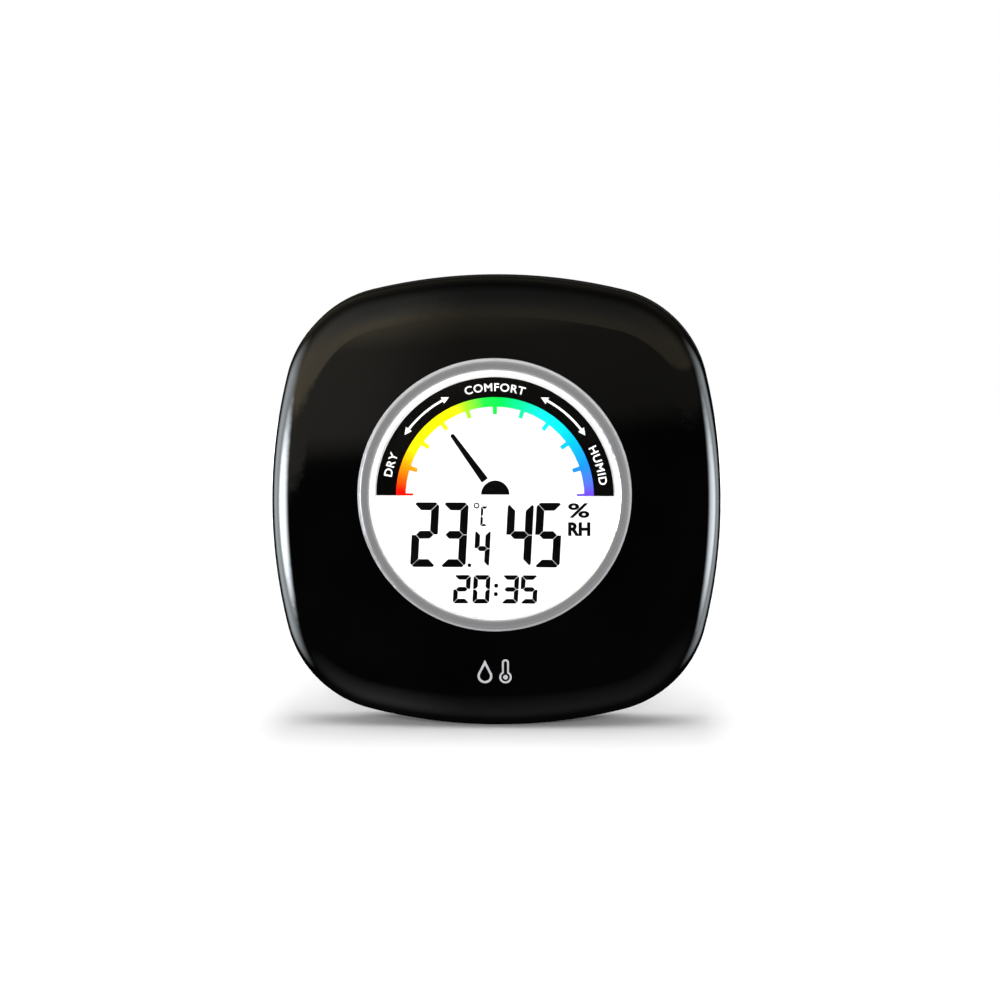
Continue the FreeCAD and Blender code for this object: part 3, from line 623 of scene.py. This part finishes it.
def eased(piece, name, edge, segments, smooth=None):
    """Fixes a new piece's place and size in its mesh, bevels its edges, and shades it smooth up to
    an angle in degrees, if one is given."""
    piece.name = piece.data.name = name
    bpy.ops.object.transform_apply(location=True, rotation=True, scale=True)
    bevel = piece.modifiers.new("edge", "BEVEL")
    bevel.width = edge
    bevel.segments = segments
    bpy.ops.object.modifier_apply(modifier=bevel.name)
    if smooth:
        bpy.ops.object.shade_smooth_by_angle(angle=math.radians(smooth))
    return piece


def round_pane(node, edge):
    """A disc with a broken edge, a hair thinner than the part it stands for."""
    low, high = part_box(node)
    bpy.ops.object.select_all(action="DESELECT")
    bpy.ops.mesh.primitive_cylinder_add(
        vertices=180,
        radius=(high.x - low.x) / 2,
        depth=high.y - low.y - PANE_GAP,
        location=(low + high) / 2,
        rotation=(math.pi / 2, 0, 0),
    )
    return eased(bpy.context.object, node + "_pane", edge, 2, 30)


def block(name, low, high, edge, segments, smooth=None, gap=0.0):
    """A block between two corners with bevelled edges, thinner from front to back by a gap."""
    bpy.ops.object.select_all(action="DESELECT")
    bpy.ops.mesh.primitive_cube_add(size=1.0, location=(low + high) / 2)
    piece = bpy.context.object
    piece.dimensions = high - low - Vector((0, gap, 0))
    return eased(piece, name, edge, segments, smooth)


def lay(piece, size, thickness, point):
    """Makes a flat piece a mesh, fits it to a width and a height, and puts each corner where point
    says. point takes the distance right, up and towards the reader. With no width, the shape keeps
    its own."""
    bpy.ops.object.convert(target="MESH")
    piece = bpy.context.object
    corners = [v.co for v in piece.data.vertices]
    low = Vector([min(c[i] for c in corners) for i in range(3)])
    high = Vector([max(c[i] for c in corners) for i in range(3)])
    middle, span = (low + high) / 2, high - low
    width = size[0] if size[0] else size[1] * span.x / span.y
    for vertex in piece.data.vertices:
        u, v, w = vertex.co - middle
        vertex.co = point(u / span.x * width, v / span.y * size[1], w / span.z * thickness)
    piece.data.update()
    return piece


def lettering(name, words, size, thickness, weight, point, spacing=1.0):
    """Generic type in the built-in face. weight swells its strokes, spacing spreads its letters."""
    bpy.ops.object.select_all(action="DESELECT")
    bpy.ops.object.text_add(location=(0, 0, 0))
    piece = bpy.context.object
    piece.name = piece.data.name = name
    piece.data.body = words
    piece.data.offset = weight
    piece.data.space_character = spacing
    piece.data.extrude = 0.5
    return lay(piece, size, thickness, point)


def outlines(name, loops, size, thickness, point):
    """A flat shape between closed outlines, where an outline inside another is a hole."""
    bpy.ops.object.select_all(action="DESELECT")
    bpy.ops.curve.primitive_bezier_circle_add(location=(0, 0, 0))
    piece = bpy.context.object
    piece.name = piece.data.name = name
    curve = piece.data
    curve.splines.clear()
    curve.dimensions = "2D"
    curve.fill_mode = "BOTH"
    curve.extrude = 0.5
    for loop in loops:
        spline = curve.splines.new("POLY")
        spline.points.add(len(loop) - 1)
        for at, (x, y) in zip(spline.points, loop):
            at.co = (x, y, 0, 1)
        spline.use_cyclic_u = True
    return lay(piece, size, thickness, point)


def arc(x, y, radius, start, end, steps=24):
    """Points along an arc between two angles in degrees."""
    turns = [math.radians(start + (end - start) * i / steps) for i in range(steps + 1)]
    return [(x + radius * math.cos(t), y + radius * math.sin(t)) for t in turns]


def seated(piece, body, material, slot):
    """Gives a finished piece its material and body. The slot is not used."""
    dress(piece, material)
    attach(piece, body)


def on_arc(centre_degrees):
    """Places type along the scale's band, its foot towards the pivot."""

    def point(u, v, w):
        turn = math.radians(centre_degrees) - u / WORD_RADIUS
        radius = WORD_RADIUS + v
        depth = (print_front + print_back) / 2 - w
        return Vector((radius * math.cos(turn), depth, PIVOT_Z + radius * math.sin(turn)))

    return point


def in_display(x, z):
    """Places type in the display's layer of segments."""
    return lambda u, v, w: Vector((x + u, (segment_front + segment_back) / 2 - w, z + v))


def on_dome(x, z):
    """Places a print on the dome's surface."""

    def point(u, v, w):
        across, up = x + u, z + v
        drop = DOME_RADIUS - math.sqrt(DOME_RADIUS**2 - across**2 - (up - CASE_MIDDLE_Z) ** 2)
        return Vector((across, dome_pole + drop - w, up))

    return point


def on_back(x, z, proud=0.0):
    """Places a print on the back, or a little proud of it, to be read from behind."""
    return lambda u, v, w: Vector((x - u, back_face + proud + w, z + v))


# ---------------------------------------------------------------- pieces

# Words round the scale, each with the angle of its middle and its width. They and the signs below
# fill a little less than their layer's depth, so that no faces coincide.
print_depth = print_back - print_front
WORD_HEIGHT = 1.7 * MM
for word, centre, width in (("DRY", 163.4, 5.1), ("COMFORT", 90.0, 12.8), ("HUMID", 16.5, 8.4)):
    piece = lettering(
        "word_" + word.lower(), word, (width * MM, WORD_HEIGHT), print_depth * 0.98, 0.014,
        on_arc(centre), 1.12,
    )
    seated(piece, "case", white_ink, "print_white")

# A white border printed on the back of the window hides the edges of the display.
border_outer, border_inner = 26.5, 25.35
border = [arc(0, 0, radius, 0, 360, 180)[:-1] for radius in (border_outer, border_inner)]
low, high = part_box("window_lens")
middle = (low + high) / 2
piece = outlines(
    "window_border", border, (None, 2 * border_outer * MM), print_depth * 0.5,
    lambda u, v, w: Vector((middle.x + u, print_front + print_depth * 0.5 - w, middle.z + v)),
)
seated(piece, "case", white_ink, "print_white")

# Signs beside the humidity, each with its size, its weight and its place.
segment_depth = segment_back - segment_front
for name, text, size, weight, place in (
    ("segment_percent", "%", (4.5, 3.1), 0.022, (17.6, 46.3)),
    ("segment_rh", "RH", (4.7, 2.9), 0.045, (17.7, 42.35)),
):
    piece = lettering(
        name, text, [s * MM for s in size], segment_depth * 0.9, weight,
        in_display(*[p * MM for p in place]),
    )
    seated(piece, "case", segment_ink, "segment_dark")

for node, edge, material, slot in (
    ("lcd_front_polariser", 0.05 * MM, film, "film_clear"),
    ("lcd_front_glass", 0.15 * MM, float_glass, "glass_clear"),
    ("lcd_rear_glass", 0.15 * MM, float_glass, "glass_clear"),
):
    low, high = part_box(node)
    piece = block(node + "_pane", low, high, edge, 1, gap=PANE_GAP)
    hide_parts(node)
    seated(piece, "case", material, slot)

# A drop and a thermometer, printed under the window. Each has a hollow inside, and the
# thermometer's bulb is filled.
bulb_x, bulb_y, stem_y = 3.6, -0.2, 2.4
drop = [arc(0, 0, 1.3, -215, 35) + [(0, 2.9)], arc(0, 0, 0.9, -210, 30) + [(0, 2.0)]]
thermometer = [
    arc(bulb_x, bulb_y, bulb, start, -180 - start) + arc(bulb_x, stem_y, stem, 0, 180)
    for bulb, stem, start in ((1.1, 0.62, -236), (0.76, 0.28, -248))
]
marks = drop + thermometer + [arc(bulb_x, bulb_y, 0.42, 0, 345)]
piece = outlines("front_mark", marks, (None, 5.2 * MM), 0.04 * MM, on_dome(0, 12.6 * MM))
seated(piece, "case", silver_ink, "print_white")

# Words by the keys, and signs on them.
for word, x, z in (("SET", -31.5, 32.2), ("MODE", -31.5, 20.2)):
    piece = lettering(
        "mark_" + word.lower(), word, (None, 1.5 * MM), 0.03 * MM, 0.012,
        on_back(x * MM, z * MM, 0.01 * MM),
    )
    seated(piece, "case", silver_ink, "print_white")
for sign, key, height in (("+", "key_plus", 2.6), ("-", "key_minus", 0.5)):
    low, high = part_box(key)
    middle = (low + high) / 2
    piece = lettering(
        key + "_sign", sign, (2.6 * MM, height * MM), 0.16 * MM, 0.0,
        on_back(middle.x, middle.z, high.y - back_face),
    )
    seated(piece, key, silver_ink, "print_white")

# Grip bars across the battery door, rooted in it.
GRIP_START, GRIP_PITCH = 9.5, 2.0  # down from the door's top
GRIP_REACH, GRIP_HALF = 7 * MM, 0.4 * MM
GRIP_ROOT, GRIP_PROUD = 0.3 * MM, 0.35 * MM
door_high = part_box("battery_door")[1]
for number in range(3):
    z = door_high.z - (GRIP_START + GRIP_PITCH * number) * MM
    low = Vector((-GRIP_REACH, door_high.y - GRIP_ROOT, z - GRIP_HALF))
    high = Vector((GRIP_REACH, door_high.y + GRIP_PROUD, z + GRIP_HALF))
    piece = block(f"door_grip_{number + 1}", low, high, 0.25 * MM, 3, 40)
    seated(piece, "door", grain_abs, "case_black")

lens_disc = round_pane("window_lens", 0.15 * MM)
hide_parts("window_lens")
seated(lens_disc, "case", acrylic, "lens_clear")

# Skins of the two covers and the ring.
front_skin = smooth_copy("front_cover", 30)
path = outline(FRONT_ROLL)
inner_dome = DOME_RADIUS - FRONT_ROLL
sink = DOME_RADIUS - np.sqrt(inner_dome**2 - (path**2).sum(axis=1))
middles = np.c_[path[:, 0], dome_pole + sink, path[:, 1] + CASE_MIDDLE_Z]
polish(front_skin, (middles, FRONT_ROLL, -1), None)

rear_skin = smooth_copy("rear_cover", 30)
path = outline(BACK_ROLL)
roll_y = np.full(len(path), back_face - BACK_ROLL)
middles = np.c_[path[:, 0], roll_y, path[:, 1] + CASE_MIDDLE_Z]
polish(rear_skin, (middles, BACK_ROLL, 1), back_face)

for piece, node, slot in (
    (front_skin, "front_cover", "case_black"),
    (rear_skin, "rear_cover", "case_black"),
    (smooth_copy("bezel_ring", 20), "bezel_ring", "ring_silver"),
):
    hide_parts(node)
    seated(piece, "case", finishes[node], slot)

# ---------------------------------------------------------------- studio

MIDDLE = Vector((0, -20, 47.5)) * MM
SOFTBOX_DISTANCE, SOFTBOX_DROP = 0.9, 0.11


def area_light(name, place, size, radiance):
    """A soft panel aimed at the object, kept out of its reflections."""
    data = bpy.data.lights.new(name, "AREA")
    data.shape = "RECTANGLE"
    data.size, data.size_y = size
    data.energy = radiance * math.pi * size[0] * size[1]
    light = bpy.data.objects.new(name, data)
    bpy.context.scene.collection.objects.link(light)
    light.location = place
    light.rotation_euler = (MIDDLE - Vector(place)).to_track_quat("-Z", "Y").to_euler()
    light.visible_glossy = False


def softbox(name, azimuth, width, height, radiance):
    """A softbox hung low, seen only in reflections, that dims smoothly towards its edges. azimuth
    is from the front, to the right. Light from behind it passes through."""
    turn = math.radians(azimuth)
    away = Vector((math.sin(turn), -math.cos(turn), 0))
    bpy.ops.object.select_all(action="DESELECT")
    bpy.ops.mesh.primitive_plane_add(size=1.0, location=(0, 0, 0))
    panel = bpy.context.object
    panel.name = panel.data.name = name
    panel.dimensions = (width, height, 0)
    bpy.ops.object.transform_apply(location=False, rotation=False, scale=True)
    panel.location = MIDDLE + SOFTBOX_DISTANCE * away - Vector((0, 0, SOFTBOX_DROP))
    panel.rotation_euler = (-away).to_track_quat("Z", "Y").to_euler()
    material, tree = new_material(name + "_cloth")
    place = add(tree, "TexCoord").outputs["Object"]
    share = add(
        tree, "VectorMath", {0: place, 1: (2 / width, 2 / height, 0)}, operation="MULTIPLY"
    )
    off = add(tree, "VectorMath", {0: share.outputs[0]}, operation="LENGTH")
    level = add(
        tree,
        "MapRange",
        {
            "Value": off.outputs["Value"],
            "From Min": 0.3,
            "From Max": 1.0,
            "To Min": radiance,
            "To Max": 0.0,
        },
        interpolation_type="SMOOTHSTEP",
    )
    glow = add(tree, "Emission", {"Color": tint("#EAF2F7"), "Strength": level.outputs[0]})
    through = add(tree, "BsdfTransparent", {"Color": tint("#FFFFFF")})
    both = add(tree, "AddShader", {0: glow.outputs[0], 1: through.outputs[0]})
    add(tree, "OutputMaterial", {"Surface": both.outputs[0]})
    dress(panel, material)
    panel.visible_camera = False
    panel.visible_diffuse = False
    panel.visible_shadow = False


scene = bpy.context.scene
scene.view_settings.view_transform = "Standard"
scene.cycles.transparent_max_bounces = 24  # the window and the display are four panes deep

bpy.ops.object.select_all(action="DESELECT")
bpy.ops.mesh.primitive_plane_add(size=1.0, location=(0, 0, 0))
floor = bpy.context.object
floor.name = floor.data.name = "studio_floor"
floor.dimensions = (1.4, 1.6, 0)
floor.location = (0, -0.1, 0)
floor.visible_glossy = False
floor.visible_diffuse = False
floor.visible_shadow = False
# White paper with a painted glow that grows towards its edges, so that it meets the room without a
# line.
material, tree = new_material("white_paper_sweep")
paper = add(tree, "BsdfDiffuse", {"Color": tint("#F6F6F6")})
off = add(tree, "VectorMath", {0: add(tree, "TexCoord").outputs["Object"]}, operation="LENGTH")
painted_edge_glow = add(
    tree,
    "MapRange",
    {"Value": off.outputs["Value"], "From Min": 0.15, "From Max": 0.5, "To Max": 0.6},
    interpolation_type="SMOOTHSTEP",
)
glow = add(tree, "Emission", {"Strength": painted_edge_glow.outputs[0]})
both = add(tree, "AddShader", {0: paper.outputs[0], 1: glow.outputs[0]})
add(tree, "OutputMaterial", {"Surface": both.outputs[0]})
dress(floor, material)

# The room: white behind the object, an even pale light on it, and in reflections a dim studio.
# Its ceiling starts above the horizon, is tilted, and is brighter to the left and in front.
CEILING_TILT = -0.11
world = bpy.data.worlds.new("studio")
scene.world = world
world.use_nodes = True
tree = world.node_tree
tree.nodes.clear()
way = add(tree, "SeparateXYZ", {0: add(tree, "TexCoord").outputs["Generated"]})
tilt = add(
    tree,
    "Math",
    {0: way.outputs["X"], 1: CEILING_TILT, 2: way.outputs["Z"]},
    operation="MULTIPLY_ADD",
)
share = add(tree, "MapRange", {"Value": tilt.outputs[0], "From Min": -1.0, "From Max": 1.0})
room = add(
    tree,
    "ValToRGB",
    {"Fac": share.outputs[0]},
    stops=[
        (0.0, "#6A6A6C"), (0.15, "#4A4A4C"), (0.26, "#0C0C0C"), (0.49, "#070707"),
        (0.505, "#101010"), (0.53, "#5E5C57"), (0.605, "#625F58"), (0.63, "#A69C84"),
        (0.75, "#A69C88"), (0.87, "#8A877E"), (1.0, "#646462"),
    ],
)
left = add(
    tree,
    "MapRange",
    {
        "Value": way.outputs["X"],
        "From Min": -0.32,
        "From Max": -0.08,
        "To Min": 2.7,
        "To Max": 1.0,
    },
    interpolation_type="SMOOTHSTEP",
)
front = add(
    tree,
    "MapRange",
    {"Value": way.outputs["Y"], "From Min": -0.2, "From Max": 0.5, "To Min": 1.0, "To Max": 0.1},
    interpolation_type="SMOOTHSTEP",
)
strength = add(tree, "Math", {0: left.outputs[0], 1: front.outputs[0]}, operation="MULTIPLY")
rays = add(tree, "LightPath")
reflected = add(
    tree, "Background", {"Color": room.outputs["Color"], "Strength": strength.outputs[0]}
)
ambient = add(tree, "Background", {"Color": tint("#FFFFFF"), "Strength": 0.5})
backdrop = add(tree, "Background", {"Color": tint("#FFFFFF"), "Strength": 1.0})
shown = add(
    tree,
    "MixShader",
    {0: rays.outputs["Is Glossy Ray"], 1: ambient.outputs[0], 2: reflected.outputs[0]},
)
seen = add(
    tree,
    "MixShader",
    {0: rays.outputs["Is Camera Ray"], 1: shown.outputs[0], 2: backdrop.outputs[0]},
)
add(tree, "OutputWorld", {"Surface": seen.outputs[0]})

softbox("left_softbox", -93, 0.68, 0.58, 20.0)
softbox("left_wrap", -114, 1.1, 1.3, 3.0)
softbox("right_softbox", 107, 0.6, 0.62, 9.0)
softbox("right_wrap", 122, 0.9, 1.3, 2.2)
area_light("front_fill", (0.04, -1.25, 0.17), (0.35, 0.35), 50.0)
area_light("overhead", (0, -0.02, 0.8), (0.2, 2.2), 5.7)

# The camera stands a little to the right and above, and looks at the middle of the case.
AZIMUTH, ELEVATION, DISTANCE = math.radians(2.0), math.radians(6.0), 1.174
AIM = Vector((0.88, -20.0, 48.12)) * MM
outward = Vector(
    (
        math.sin(AZIMUTH) * math.cos(ELEVATION),
        -math.cos(AZIMUTH) * math.cos(ELEVATION),
        math.sin(ELEVATION),
    )
)
lens = bpy.data.cameras.new("camera")
lens.lens = 200
lens.sensor_width = 36
camera = bpy.data.objects.new("camera", lens)
scene.collection.objects.link(camera)
camera.location = AIM + DISTANCE * outward
camera.rotation_euler = (-outward).to_track_quat("-Z", "Y").to_euler()
scene.camera = camera
